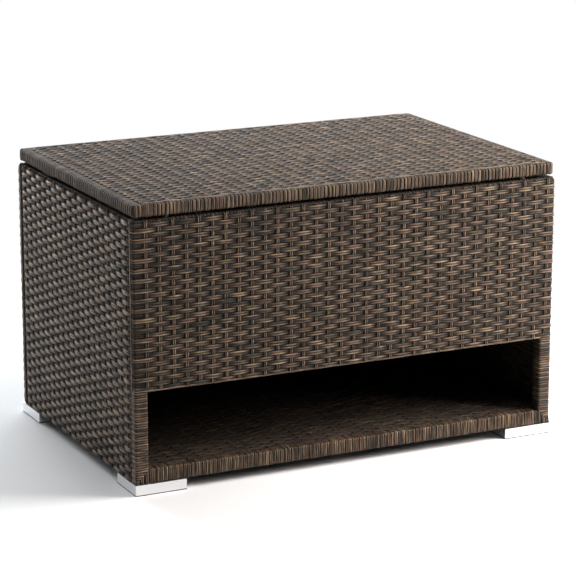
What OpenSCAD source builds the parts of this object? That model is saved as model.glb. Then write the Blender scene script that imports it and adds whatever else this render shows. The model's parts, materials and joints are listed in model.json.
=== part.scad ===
// Woven garden coffee table: a storage box under a hinged lid, with an open shelf bay below it.
// Front is -Y, right is +X, up is +Z. The origin is the centre of the footprint, on the floor.

/* [Body] */
// Width of the body across the front, over the weave
body_w = 780; // [700:5:900]
// Depth of the body from front to back, over the weave
body_d = 520; // [460:5:620]
// Height of the whole table, from the floor to the top of the lid
total_h = 480; // [450:5:540]
// Clear height of the open shelf bay, between its wrapped rail and the front panel
bay_h = 130; // [110:5:150]

/* [Frame] */
// Outer width of the square frame tubes
tube = 18; // [16:1:20]
// Wall thickness of every frame tube
tube_wall = 1.2; // [1:0.1:2]
// Corner radius of every frame tube
tube_round = 2; // [1.5:0.5:3]
// Outer width of the square lid tubes
lid_tube = 16; // [14:1:16]

/* [Weave] */
// Thickness of the woven panels on the outside of the frame
weave_t = 5; // [4:0.5:6]
// Thickness of the strands wound round a post or rail, with their lashing
wrap_t = 3.5; // [3:0.5:4]
// Thickness of the same wrapping on the inner faces of the bay
inner_wrap_t = 2; // [1.5:0.5:2.5]
// Thickness of one strand laid over the rim of the body or the underside of the lid
strand_t = 1.5; // [1:0.1:1.5]
// Thickness of the woven storage floor
floor_t = 4; // [3:0.5:5]

/* [Lid] */
// Height of the lid, over its wrapping
lid_h = 22; // [22:1:24]
// Dark gap between the body and the closed lid
lid_gap = 4; // [4:0.5:5]
// How far the lid stands back from the body on each side
lid_inset = 3; // [2.5:0.5:4]
// Thickness of the wrapping on the lid's edges
lid_wrap_t = 3; // [2.5:0.5:3.5]

/* [Feet] */
// Length of a foot along the front
foot_w = 90; // [70:5:110]
// Length of a foot along the side
foot_d = 80; // [60:5:100]
// Height of a foot
foot_h = 18; // [14:1:24]
// Wall thickness of the folded aluminium foot
foot_wall = 2.5; // [2:0.5:3]

/* [Hinges] */
// Length of each butt hinge
hinge_len = 60; // [50:5:80]
// Distance from the middle of the table to the middle of each hinge
hinge_x = 240; // [150:10:280]
// Thickness of the hinge leaves
leaf_t = 2; // [1.5:0.1:2]
// Width of a hinge leaf, from the pin to its free edge
leaf_reach = 23; // [21:1:24]
// Diameter of the hinge pins
pin_d = 3.2; // [3:0.1:3.4]

/* [Lid stays] */
// Length of a stay's lower arm, between its pivots, measured along Y when the lid is closed
stay_reach = 140; // [110:5:160]
// How far a stay's fixed pivot is below the hinge axis
stay_drop = 126; // [110:2:140]
// How far a stay's fixed pivot is in front of the hinge axis
stay_forward = 37; // [36:1:45]
// Width of the stay's flat bars
stay_bar_w = 16; // [14:1:18]
// Thickness of the stay's flat bars
stay_bar_t = 3; // [2.5:0.5:3]

/* [Hidden] */
$fn = 48;

// Outer faces of the woven body, and of the frame inside it
face_x = body_w / 2;
face_y = body_d / 2;
frame_x = face_x - weave_t;
frame_y = face_y - weave_t;
inner_x = frame_x - tube;
inner_y = frame_y - tube;

// Heights, from the floor up
frame_z = foot_h + wrap_t;
shelf_z = frame_z + tube;
bay_z = shelf_z + wrap_t;
panel_z = bay_z + bay_h;
middle_z = panel_z + 3;
floor_z = middle_z + tube;
lid_z = total_h - lid_h;
rim_z = lid_z - lid_gap;
frame_top = rim_z - strand_t;
lid_tube_z = lid_z + strand_t;
lid_weave_z = lid_tube_z + lid_tube;

// Outer faces of the lid, and of its tubes
lid_x = face_x - lid_inset;
lid_y = face_y - lid_inset;
lid_frame_x = lid_x - lid_wrap_t;
lid_frame_y = lid_y - lid_wrap_t;
lid_inner_x = lid_frame_x - lid_tube;
lid_inner_y = lid_frame_y - lid_tube;
bumper_d = 12;
bumper_x = lid_inner_x - 40;
bumper_slack = 0.1;

// The hinge axis runs along X in the gap under the lid, just inside its rear face
axis_y = lid_y - 0.5;
axis_z = (frame_top + lid_tube_z) / 2;
knuckle_r = (lid_tube_z - frame_top) / 2 - 0.3;
knuckle_len = (hinge_len - 24) / 2;
knuckle_gap = 0.3;
pin_play = 0.05;
leaf_cut = knuckle_r + 0.9;
screw_pitch = 20;
leaf_screw_y = axis_y - leaf_reach + 10;

// Each stay is a parallelogram with the hinge axis: arm parallel to the lid, link parallel to the body
stay_pin_d = 6;
stay_head_d = 10;
stay_head_t = 1.5;
stay_slip = 0.3;
lid_pivot_drop = 8;
base_y = axis_y - stay_forward;
base_z = axis_z - stay_drop;
lid_pivot_y = axis_y - stay_reach;
lid_pivot_z = axis_z - lid_pivot_drop;
elbow_y = base_y - stay_reach;
elbow_z = base_z - lid_pivot_drop;
plate_t = 3;
arm_x = plate_t + stay_slip;
link_x = arm_x + stay_bar_t + stay_slip;
tab_x = link_x + stay_bar_t + stay_slip;
tab_t = 3;
lid_head_x = link_x - stay_slip - stay_head_t;
stay_plate_h = 28;
plate_screw_z = 7;
stay_flange_w = 30;
flange_screw_y = 9;

// Screws
screw_d = 4;
screw_head_d = 7.2;
screw_len = 12;
screw_play = 0.1;
foot_screw_d = 6;
foot_screw_head_d = 11;
foot_screw_head_t = 3;
foot_screw_grip = 7;
post_end_t = 8;

// Plan centre of a foot, and how far out its second screw is
foot_x = face_x - foot_w / 2;
foot_y = face_y - foot_d / 2;
foot_rail_screw_y = face_y - foot_d + 18;
foot_insert_t = 4;
foot_insert_slack = 0.4;

WICKER = "#5a4a3e";
TUBE = "#3b2f28";
STEEL = "#a9abad";

// ---- Shared shapes ----

// A square with round corners, in the XY plane, centred
module round_square(w, d, r) {
    square([w - 2 * r, d], center = true);
    square([w, d - 2 * r], center = true);
    for (x = [-1, 1], y = [-1, 1]) {
        translate([x * (w / 2 - r), y * (d / 2 - r)])
            circle(r = r);
    }
}

// A square tube standing on the XY plane, centred on the Z axis
module square_tube(size, length) {
    linear_extrude(height = length)
        difference() {
            round_square(size, size, tube_round);
            square(size - 2 * tube_wall, center = true);
        }
}

// The same tube lying along X, centred on the origin
module tube_along_x(size, length) {
    rotate([0, 90, 0])
        translate([0, 0, -length / 2])
            square_tube(size, length);
}

// The same tube lying along Y, centred on the origin
module tube_along_y(size, length) {
    rotate([90, 0, 0])
        translate([0, 0, -length / 2])
            square_tube(size, length);
}

// A block given by its lowest and highest corners
module block(low, high) {
    translate(low)
        cube(high - low);
}

// Everything on the right is the left side's shape seen in a mirror
module on_side(side) {
    scale_x = side == "left" ? 0 : 1;
    mirror([scale_x, 0, 0])
        children();
}

// A flat bar with round ends between two points of the YZ plane, from x = 0 to its thickness
module flat_bar(from, to, w, t) {
    run = to - from;
    translate([0, from[0], from[1]])
        rotate([atan2(run[1], run[0]), 0, 0])
            rotate([90, 0, 90])
                linear_extrude(height = t) {
                    translate([0, -w / 2])
                        square([norm(run), w]);
                    circle(d = w);
                    translate([norm(run), 0])
                        circle(d = w);
                }
}

// A cylinder along +X from x = 0, at a point of the YZ plane
module pin_at(at, d, length) {
    translate([0, at[0], at[1]])
        rotate([0, 90, 0])
            cylinder(d = d, h = length);
}

// A countersunk screw with its head's top face at z = 0, pointing down
module countersunk_screw() {
    translate([0, 0, -leaf_t])
        cylinder(h = leaf_t, d1 = screw_d, d2 = screw_head_d);
    translate([0, 0, -screw_len])
        cylinder(h = screw_len - leaf_t, d = screw_d);
}

// The hole that such a screw needs
module countersunk_hole() {
    translate([0, 0, -leaf_t])
        cylinder(h = leaf_t, d1 = screw_d + screw_play, d2 = screw_head_d + screw_play);
    translate([0, 0, -screw_len - 1])
        cylinder(h = screw_len, d = screw_d + screw_play);
}

// ---- Frame ----

module post(x_side, y_side) {
    color(TUBE)
        translate([x_side * (inner_x + tube / 2), y_side * (inner_y + tube / 2), foot_h])
            difference() {
                union() {
                    square_tube(tube, frame_top - foot_h);
                    translate([0, 0, post_end_t / 2])
                        cube([tube - 2 * tube_wall, tube - 2 * tube_wall, post_end_t], center = true);
                }
                translate([0, 0, -1])
                    cylinder(d = foot_screw_d + screw_play, h = post_end_t + 2);
            }
}

module rear_post(x_side) {
    difference() {
        post(x_side, 1);
        for (z = [-1, 1]) {
            translate([x_side * (inner_x - 1), inner_y + tube / 2, base_z + z * plate_screw_z])
                rotate([0, x_side * 90, 0])
                    cylinder(d = screw_d + screw_play, h = tube_wall + 2);
        }
    }
}

// A frame rail along the front or the back, at a height
module cross_rail(y_side, z) {
    color(TUBE)
        translate([0, y_side * (inner_y + tube / 2), z + tube / 2])
            tube_along_x(tube, 2 * inner_x);
}

// A frame rail along the left or the right side, at a height
module side_rail(x_side, z) {
    color(TUBE)
        translate([x_side * (inner_x + tube / 2), 0, z + tube / 2])
            tube_along_y(tube, 2 * inner_y);
}

module rear_top_rail() {
    difference() {
        cross_rail(1, frame_top - tube);
        for (x = [-hinge_x, hinge_x], i = [-1, 0, 1]) {
            translate([x + i * screw_pitch, leaf_screw_y, frame_top - tube_wall - 1])
                cylinder(d = screw_d + screw_play, h = tube_wall + 2);
        }
    }
}

module bottom_side_rail(x_side) {
    difference() {
        side_rail(x_side, frame_z);
        for (y = [-1, 1]) {
            translate([x_side * (inner_x + tube / 2), y * foot_rail_screw_y, frame_z - 1])
                cylinder(d = foot_screw_d + screw_play, h = tube_wall + 2);
        }
    }
}

module storage_floor_bar() {
    color(TUBE)
        translate([0, 0, middle_z + tube / 2])
            tube_along_y(tube, 2 * inner_y);
}

module shelf_bar() {
    color(TUBE)
        translate([0, 0, frame_z + tube / 2])
            tube_along_y(tube, 2 * inner_y);
}

// ---- Woven skins ----

module front_weave() {
    color(WICKER)
        block([-face_x, -face_y, panel_z], [face_x, -frame_y, frame_top]);
}

module rear_weave() {
    color(WICKER)
        block([-face_x, frame_y, foot_h], [face_x, face_y, frame_top]);
}

// The side panels run from the rear panel to the line of the front posts
module side_weave(side) {
    color(WICKER)
        on_side(side)
            block([-face_x, -frame_y, foot_h], [-frame_x, frame_y, frame_top]);
}

module shelf_weave() {
    color(WICKER)
        block([-inner_x, -inner_y, shelf_z], [inner_x, frame_y, bay_z]);
}

module storage_floor_weave() {
    color(WICKER)
        block([-inner_x, -frame_y, floor_z], [inner_x, frame_y, floor_z + floor_t]);
}

// Strands wound round a front post beside the bay: a front strip and an inner strip
module post_wrap(side) {
    color(WICKER)
        on_side(side) {
            block([-face_x, -frame_y - wrap_t, foot_h], [inner_wrap_t - inner_x, -frame_y, panel_z]);
            block([-inner_x, -frame_y, bay_z], [inner_wrap_t - inner_x, -inner_y, panel_z]);
        }
}

// Strands wound round the front bottom rail: front, top and underside
module bottom_rail_wrap() {
    x = inner_x - inner_wrap_t;
    color(WICKER) {
        block([-x, -frame_y - wrap_t, foot_h], [x, -frame_y, bay_z]);
        block([-x, -frame_y, shelf_z], [x, -inner_y, bay_z]);
        block([-x, -frame_y, foot_h], [x, -inner_y, frame_z]);
    }
}

// ---- Feet ----

// Screw places on a foot: under the post, and under the side rail
function foot_screw_places(x_side, y_side) = [
    [x_side * (inner_x + tube / 2), y_side * (inner_y + tube / 2)],
    [x_side * (inner_x + tube / 2), y_side * foot_rail_screw_y],
];

// A foot is a folded aluminium tray, closed at the top and open at the bottom
module foot(x_side, y_side) {
    color("#e4e5e7")
        difference() {
            translate([x_side * foot_x, y_side * foot_y, 0])
                difference() {
                    linear_extrude(height = foot_h)
                        round_square(foot_w, foot_d, 1.5);
                    translate([0, 0, (foot_h - foot_wall) / 2 - 1])
                        cube([foot_w - 2 * foot_wall, foot_d - 2 * foot_wall, foot_h - foot_wall + 2],
                             center = true);
                }
            for (p = foot_screw_places(x_side, y_side)) {
                translate([p[0], p[1], foot_h - foot_wall - 1])
                    cylinder(d = foot_screw_d + screw_play, h = foot_wall + 2);
            }
        }
}

// Plastic plates that close the underside of the feet
module foot_inserts() {
    w = foot_w - 2 * foot_wall - foot_insert_slack;
    d = foot_d - 2 * foot_wall - foot_insert_slack;
    color("#202020")
        for (x = [-1, 1], y = [-1, 1]) {
            translate([x * foot_x, y * foot_y, 0])
                linear_extrude(height = foot_insert_t)
                    square([w, d], center = true);
        }
}

// Pan-head screws, up through the top of each foot
module foot_screws() {
    length = foot_screw_head_t + foot_wall + foot_screw_grip;
    color(STEEL)
        for (x = [-1, 1], y = [-1, 1]) {
            for (p = foot_screw_places(x, y)) {
                translate([p[0], p[1], foot_h - foot_wall - foot_screw_head_t]) {
                    cylinder(d = foot_screw_head_d, h = foot_screw_head_t);
                    cylinder(d = foot_screw_d, h = length);
                }
            }
        }
}

// ---- Hinges ----

// Knuckles along X, each given by its start and end
module knuckles(spans) {
    for (s = spans) {
        translate([s[0], axis_y, axis_z])
            rotate([0, 90, 0])
                cylinder(r = knuckle_r, h = s[1] - s[0]);
    }
}

module hinge_body_leaf(x) {
    half = hinge_len / 2;
    middle = half - knuckle_len;
    color(STEEL)
        translate([x, 0, 0])
            difference() {
                union() {
                    block([-half, axis_y - leaf_reach, frame_top],
                          [half, axis_y - leaf_cut, frame_top + leaf_t]);
                    for (s = [-half, middle]) {
                        block([s, axis_y - leaf_reach, frame_top],
                              [s + knuckle_len, axis_y, frame_top + leaf_t]);
                    }
                    knuckles([[-half, -middle], [middle, half]]);
                }
                translate([-half - 1, axis_y, axis_z])
                    rotate([0, 90, 0])
                        cylinder(d = pin_d + 0.02, h = hinge_len + 2);
                for (i = [-1, 0, 1]) {
                    translate([i * screw_pitch, leaf_screw_y, frame_top + leaf_t])
                        countersunk_hole();
                }
            }
}

module hinge_lid_leaf(x) {
    half = hinge_len / 2;
    middle = half - knuckle_len - knuckle_gap;
    color(STEEL)
        translate([x, 0, 0])
            difference() {
                union() {
                    block([-half, axis_y - leaf_reach, lid_tube_z - leaf_t],
                          [half, axis_y - leaf_cut, lid_tube_z]);
                    block([-middle, axis_y - leaf_reach, lid_tube_z - leaf_t],
                          [middle, axis_y, lid_tube_z]);
                    knuckles([[-middle, middle]]);
                }
                translate([-half - 1, axis_y, axis_z])
                    rotate([0, 90, 0])
                        cylinder(d = pin_d + 2 * pin_play, h = hinge_len + 2);
                for (i = [-1, 0, 1]) {
                    translate([i * screw_pitch, leaf_screw_y, lid_tube_z - leaf_t])
                        mirror([0, 0, 1])
                            countersunk_hole();
                }
            }
}

module hinge_pins() {
    color(STEEL)
        for (x = [-hinge_x, hinge_x]) {
            translate([x - hinge_len / 2, axis_y, axis_z])
                rotate([0, 90, 0])
                    cylinder(d = pin_d, h = hinge_len);
        }
}

// ---- Lid stays ----
// Each is drawn on the left, with x = 0 on the inner face of the left posts

module stay_frame(side) {
    on_side(side)
        translate([-inner_x, 0, 0])
            children();
}

// Screwed to the rear post, with the stud that the lower arm turns on
module stay_plate(side) {
    color(STEEL)
        stay_frame(side)
            difference() {
                union() {
                    block([0, base_y, base_z - stay_plate_h / 2],
                          [plate_t, frame_y - 2, base_z + stay_plate_h / 2]);
                    pin_at([base_y, base_z], stay_plate_h, plate_t);
                    pin_at([base_y, base_z], stay_pin_d, link_x + stay_head_t);
                    translate([link_x, 0, 0])
                        pin_at([base_y, base_z], stay_head_d, stay_head_t);
                }
                for (z = [-1, 1]) {
                    translate([plate_t, inner_y + tube / 2, base_z + z * plate_screw_z])
                        rotate([0, 90, 0])
                            countersunk_hole();
                }
            }
}

// The lower arm, with the stud of its elbow
module stay_arm(side) {
    color(STEEL)
        stay_frame(side) {
            difference() {
                translate([arm_x, 0, 0])
                    flat_bar([base_y, base_z], [elbow_y, elbow_z], stay_bar_w, stay_bar_t);
                pin_at([base_y, base_z], stay_pin_d + 2 * pin_play, tab_x);
            }
            translate([arm_x, 0, 0])
                pin_at([elbow_y, elbow_z], stay_pin_d, tab_x + stay_head_t - arm_x);
            translate([tab_x, 0, 0])
                pin_at([elbow_y, elbow_z], stay_head_d, stay_head_t);
        }
}

// The upper link, which stays parallel to itself as the lid opens
module stay_link(side) {
    color(STEEL)
        stay_frame(side)
            difference() {
                translate([link_x, 0, 0])
                    flat_bar([elbow_y, elbow_z], [lid_pivot_y, lid_pivot_z], stay_bar_w, stay_bar_t);
                pin_at([elbow_y, elbow_z], stay_pin_d + 2 * pin_play, tab_x);
                pin_at([lid_pivot_y, lid_pivot_z], stay_pin_d + 2 * stay_slip, tab_x);
            }
}

// Screwed under the lid's side rail, with the stud that the link turns on
module stay_lid_bracket(side) {
    half = stay_flange_w / 2;
    color(STEEL)
        stay_frame(side)
            difference() {
                union() {
                    block([inner_x - lid_frame_x, lid_pivot_y - half, lid_tube_z - leaf_t],
                          [tab_x + tab_t, lid_pivot_y + half, lid_tube_z]);
                    block([tab_x, lid_pivot_y - stay_bar_w / 2, lid_pivot_z],
                          [tab_x + tab_t, lid_pivot_y + stay_bar_w / 2, lid_tube_z]);
                    translate([tab_x, 0, 0])
                        pin_at([lid_pivot_y, lid_pivot_z], stay_bar_w, tab_t);
                    translate([lid_head_x, 0, 0]) {
                        pin_at([lid_pivot_y, lid_pivot_z], stay_pin_d, tab_x - lid_head_x);
                        pin_at([lid_pivot_y, lid_pivot_z], stay_head_d, stay_head_t);
                    }
                }
                for (y = [-1, 1]) {
                    translate([-tube / 2, lid_pivot_y + y * flange_screw_y, lid_tube_z - leaf_t])
                        mirror([0, 0, 1])
                            countersunk_hole();
                }
            }
}

// ---- Screws ----

// Fix the hinges to the rear top rail and the stay plates to the rear posts
module body_screws() {
    color(STEEL) {
        for (x = [-hinge_x, hinge_x], i = [-1, 0, 1]) {
            translate([x + i * screw_pitch, leaf_screw_y, frame_top + leaf_t])
                countersunk_screw();
        }
        for (side = ["left", "right"], z = [-1, 1]) {
            stay_frame(side)
                translate([plate_t, inner_y + tube / 2, base_z + z * plate_screw_z])
                    rotate([0, 90, 0])
                        countersunk_screw();
        }
    }
}

// Fix the hinges to the lid's rear rail and the stay brackets to its side rails
module lid_screws() {
    color(STEEL) {
        for (x = [-hinge_x, hinge_x], i = [-1, 0, 1]) {
            translate([x + i * screw_pitch, leaf_screw_y, lid_tube_z - leaf_t])
                mirror([0, 0, 1])
                    countersunk_screw();
        }
        for (side = ["left", "right"], y = [-1, 1]) {
            stay_frame(side)
                translate([-tube / 2, lid_pivot_y + y * flange_screw_y, lid_tube_z - leaf_t])
                    mirror([0, 0, 1])
                        countersunk_screw();
        }
    }
}

// ---- Lid ----

module lid_cross_rail(y_side) {
    color(TUBE)
        translate([0, y_side * (lid_inner_y + lid_tube / 2), lid_tube_z + lid_tube / 2])
            tube_along_x(lid_tube, 2 * lid_frame_x);
}

module lid_rear_rail() {
    difference() {
        lid_cross_rail(1);
        for (x = [-hinge_x, hinge_x], i = [-1, 0, 1]) {
            translate([x + i * screw_pitch, leaf_screw_y, lid_tube_z - 1])
                cylinder(d = screw_d + screw_play, h = tube_wall + 2);
        }
    }
}

module lid_side_rail(side) {
    difference() {
        color(TUBE)
            on_side(side)
                translate([-lid_inner_x - lid_tube / 2, 0, lid_tube_z + lid_tube / 2])
                    tube_along_y(lid_tube, 2 * lid_inner_y);
        for (y = [-1, 1]) {
            stay_frame(side)
                translate([-tube / 2, lid_pivot_y + y * flange_screw_y, lid_tube_z - 1])
                    cylinder(d = screw_d + screw_play, h = tube_wall + 2);
        }
    }
}

module lid_bar() {
    color(TUBE)
        translate([0, 0, lid_tube_z + lid_tube / 2])
            tube_along_y(lid_tube, 2 * lid_inner_y);
}

module lid_weave() {
    color(WICKER)
        block([-lid_x, -lid_y, lid_weave_z], [lid_x, lid_y, total_h]);
}

// Edge wrapping along the front or the back of the lid
module lid_cross_wrap(y_side) {
    low = y_side < 0 ? -lid_y : lid_frame_y;
    color(WICKER)
        block([-lid_x, low, lid_tube_z], [lid_x, low + lid_wrap_t, lid_weave_z]);
}

// Edge wrapping along the left or the right of the lid
module lid_side_wrap(side) {
    color(WICKER)
        on_side(side)
            block([-lid_x, -lid_frame_y, lid_tube_z], [-lid_frame_x, lid_frame_y, lid_weave_z]);
}

// Rubber buttons under the lid's front rail, which land on the body's rim
module lid_bumpers() {
    low = rim_z + bumper_slack;
    color("#1c1c1c")
        for (x = [-1, 1]) {
            translate([x * bumper_x, -lid_inner_y - lid_tube / 2, low])
                cylinder(d = bumper_d, h = lid_tube_z - low);
        }
}

post(-1, -1);  // front_left_post
post(1, -1);  // front_right_post
rear_post(-1);  // rear_left_post
rear_post(1);  // rear_right_post
cross_rail(-1, frame_top - tube);  // front_top_rail
rear_top_rail();
side_rail(-1, frame_top - tube);  // left_top_rail
side_rail(1, frame_top - tube);  // right_top_rail
cross_rail(-1, middle_z);  // front_middle_rail
cross_rail(1, middle_z);  // rear_middle_rail
side_rail(-1, middle_z);  // left_middle_rail
side_rail(1, middle_z);  // right_middle_rail
cross_rail(-1, frame_z);  // front_bottom_rail
cross_rail(1, frame_z);  // rear_bottom_rail
bottom_side_rail(-1);  // left_bottom_rail
bottom_side_rail(1);  // right_bottom_rail
storage_floor_bar();
shelf_bar();
front_weave();
rear_weave();
side_weave("left");  // left_weave
side_weave("right");  // right_weave
shelf_weave();
storage_floor_weave();
post_wrap("left");  // left_post_wrap
post_wrap("right");  // right_post_wrap
bottom_rail_wrap();
foot(-1, -1);  // front_left_foot
foot(1, -1);  // front_right_foot
foot(-1, 1);  // rear_left_foot
foot(1, 1);  // rear_right_foot
foot_inserts();
foot_screws();
hinge_body_leaf(-hinge_x);  // left_hinge_body_leaf
hinge_body_leaf(hinge_x);  // right_hinge_body_leaf
hinge_pins();
stay_plate("left");  // left_stay_plate
stay_plate("right");  // right_stay_plate
body_screws();
stay_arm("left");  // left_stay_arm
stay_arm("right");  // right_stay_arm
stay_link("left");  // left_stay_link
stay_link("right");  // right_stay_link
lid_cross_rail(-1);  // lid_front_rail
lid_rear_rail();
lid_side_rail("left");  // lid_left_rail
lid_side_rail("right");  // lid_right_rail
lid_bar();
lid_weave();
lid_cross_wrap(-1);  // lid_front_wrap
lid_cross_wrap(1);  // lid_rear_wrap
lid_side_wrap("left");  // lid_left_wrap
lid_side_wrap("right");  // lid_right_wrap
hinge_lid_leaf(-hinge_x);  // left_hinge_lid_leaf
hinge_lid_leaf(hinge_x);  // right_hinge_lid_leaf
stay_lid_bracket("left");  // left_stay_lid_bracket
stay_lid_bracket("right");  // right_stay_lid_bracket
lid_screws();
lid_bumpers();
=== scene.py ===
"""Woven storage coffee table: every strand of its weave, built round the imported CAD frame.

The table stands on z = 0, its front faces -Y and its right side +X. Lengths are in metres.
"""

import json
import math

import bpy
import numpy as np
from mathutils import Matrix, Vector


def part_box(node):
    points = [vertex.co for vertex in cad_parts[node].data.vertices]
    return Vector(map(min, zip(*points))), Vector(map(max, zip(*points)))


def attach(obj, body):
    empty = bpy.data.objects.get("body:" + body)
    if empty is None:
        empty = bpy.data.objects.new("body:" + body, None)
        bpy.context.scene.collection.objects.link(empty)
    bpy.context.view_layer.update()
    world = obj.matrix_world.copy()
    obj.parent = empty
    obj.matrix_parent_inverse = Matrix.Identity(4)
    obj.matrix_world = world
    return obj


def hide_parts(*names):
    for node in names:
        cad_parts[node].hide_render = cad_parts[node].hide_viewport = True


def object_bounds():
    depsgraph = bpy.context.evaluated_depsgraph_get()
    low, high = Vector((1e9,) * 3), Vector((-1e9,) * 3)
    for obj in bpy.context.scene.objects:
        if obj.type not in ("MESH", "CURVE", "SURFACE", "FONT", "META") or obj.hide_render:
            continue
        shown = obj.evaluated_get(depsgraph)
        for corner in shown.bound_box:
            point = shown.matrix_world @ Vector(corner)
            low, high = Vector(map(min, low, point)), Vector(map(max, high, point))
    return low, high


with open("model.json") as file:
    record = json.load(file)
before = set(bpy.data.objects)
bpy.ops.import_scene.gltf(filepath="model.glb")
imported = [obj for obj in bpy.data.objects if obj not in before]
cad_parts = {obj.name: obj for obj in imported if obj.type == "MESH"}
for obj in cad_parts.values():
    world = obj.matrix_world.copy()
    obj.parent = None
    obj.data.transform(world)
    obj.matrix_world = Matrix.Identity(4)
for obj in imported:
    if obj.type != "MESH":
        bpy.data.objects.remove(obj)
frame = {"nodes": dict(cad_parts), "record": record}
cad_low, cad_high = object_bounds()

MM = 0.001
rng = np.random.default_rng(11)

# ---- Places taken from the CAD frame ----

front_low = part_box("front_weave")[0]
rear_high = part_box("rear_weave")[1]
shelf_low, shelf_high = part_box("shelf_weave")
floor_low, floor_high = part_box("storage_floor_weave")
rail_low, rail_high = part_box("bottom_rail_wrap")
top_rail_low, top_rail_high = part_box("front_top_rail")
side_rail_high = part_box("left_top_rail")[1]
lid_low, lid_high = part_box("lid_weave")
lid_tube_low, lid_tube_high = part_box("lid_front_rail")
foot_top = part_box("front_left_foot")[1].z

FACE_X = rear_high.x
FACE_Y = rear_high.y
FRAME_TOP = rear_high.z
INNER_X = -side_rail_high.x
INNER_Y = -top_rail_high.y
PANEL_Z = front_low.z
LID_X = lid_high.x
LID_Y = lid_high.y
LID_TOP = lid_high.z

# ---- The strands and their weave ----

# Rows run level and stakes cross them; wrappings are wound round the posts, the rails and the lid.
STRAND_W = 9.0 * MM  # the front's rows, the posts' wrapping and the lid's border
CLOSE_W = 9.3 * MM  # the rows of all other panels
STRAND_T = 1.3 * MM
STAKE_W = 7.0 * MM
STAKE_T = 1.7 * MM
WRAP_W = 6.7 * MM
WRAP_PITCH = 6.68 * MM
RAIL_W = 7.1 * MM  # the bottom rail's wrapping
LASHING_W = 4.6 * MM
ROWS = 53
RIM = 1.5 * MM  # how far the rows' pattern goes on above the frame
ROW_PITCH = (FRAME_TOP + RIM - foot_top) / (ROWS + 0.5)

BROAD_STAKES = 33
NARROW_STAKES = 20
STAKE_PITCH = 23.4 * MM  # in the level panels
BROAD_MARGINS = (23.5 * MM, 15.5 * MM)  # from the left and right faces to the outer stakes
NARROW_MARGIN = 13.5 * MM
LEVEL_MARGIN = 11.0 * MM

MID_DEPTH = 1.95 * MM  # the middle of a panel's weave, behind its face
CORNER_R = 3.5 * MM
TAIL = 18.5 * MM  # where a row that comes round a corner ends on the side
LASHING_AT = 13.5 * MM
GROOVE_AT = 21.0 * MM  # where the sides' own rows begin

# How far strands swing over and under, and how unevenly they lie: the size of the unevenness,
# and its wave lengths.
ROW_SWING = 1.1 * MM
SIDE_SWING = 1.3 * MM
STAKE_SWING = 0.95 * MM
ROW_DRIFT = 0.2 * MM
CLOSE_DRIFT = 0.12 * MM
STAKE_DRIFT = 0.4 * MM
STAKE_SCATTER = 0.35 * MM
ROW_WAVE = 0.31
WIDTH_WAVE = 0.2
ROLL_WAVE = 0.083
STAKE_WAVE = 0.27
STAKE_ROLL_WAVE = 0.1

# How much the tone changes from turn to turn where a wrapping is one long strand.
TURN_DRIFT = 0.0012
RAIL_DRIFT = 0.002

SHELF_PAINTED_SHADE = 0.6  # painted shade over the whole shelf, which lies in the bay's shadow: 0 is none, and 1 is as dark as the deepest part of the weave

# Cross-sections, from one edge over the outside to the other and back: across, height, shade.
# Across is in half widths, height in thicknesses, and shade is painted shade: how dark the point is
# painted, by how deep between the strands it sits.
RIDGED = (
    (-1.0, -0.35, 1.0), (-0.78, -0.14, 1.0), (-0.65, 0.34, 0.5), (-0.465, 0.62, 0.0),
    (-0.21, 0.30, 0.7), (0.0, 0.0, 1.0), (0.21, 0.30, 0.7),
    (0.465, 0.62, 0.0), (0.65, 0.34, 0.5), (0.78, -0.14, 1.0), (1.0, -0.35, 1.0),
    (0.0, -0.50, 1.0),
)
RIDGE_HEIGHT = 0.62
SMOOTH = (
    (-1.0, -0.35, 1.0), (-0.84, -0.14, 1.0), (-0.66, 0.36, 0.4), (-0.36, 0.60, 0.0),
    (0.0, 0.60, 0.15), (0.36, 0.60, 0.0),
    (0.66, 0.36, 0.4), (0.84, -0.14, 1.0), (1.0, -0.35, 1.0),
    (0.0, -0.50, 1.0),
)
HUMPED = (
    (-1.0, -0.30, 1.0), (-0.84, -0.10, 1.0), (-0.68, 0.40, 0.35), (-0.42, 0.64, 0.0),
    (0.0, 0.34, 0.65), (0.42, 0.64, 0.0),
    (0.68, 0.40, 0.35), (0.84, -0.10, 1.0), (1.0, -0.30, 1.0),
    (0.0, -0.50, 1.0),
)


def unit(vectors):
    """The vectors scaled to length 1, along the last axis."""
    return vectors / np.maximum(np.linalg.norm(vectors, axis=-1, keepdims=True), 1e-12)


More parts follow.
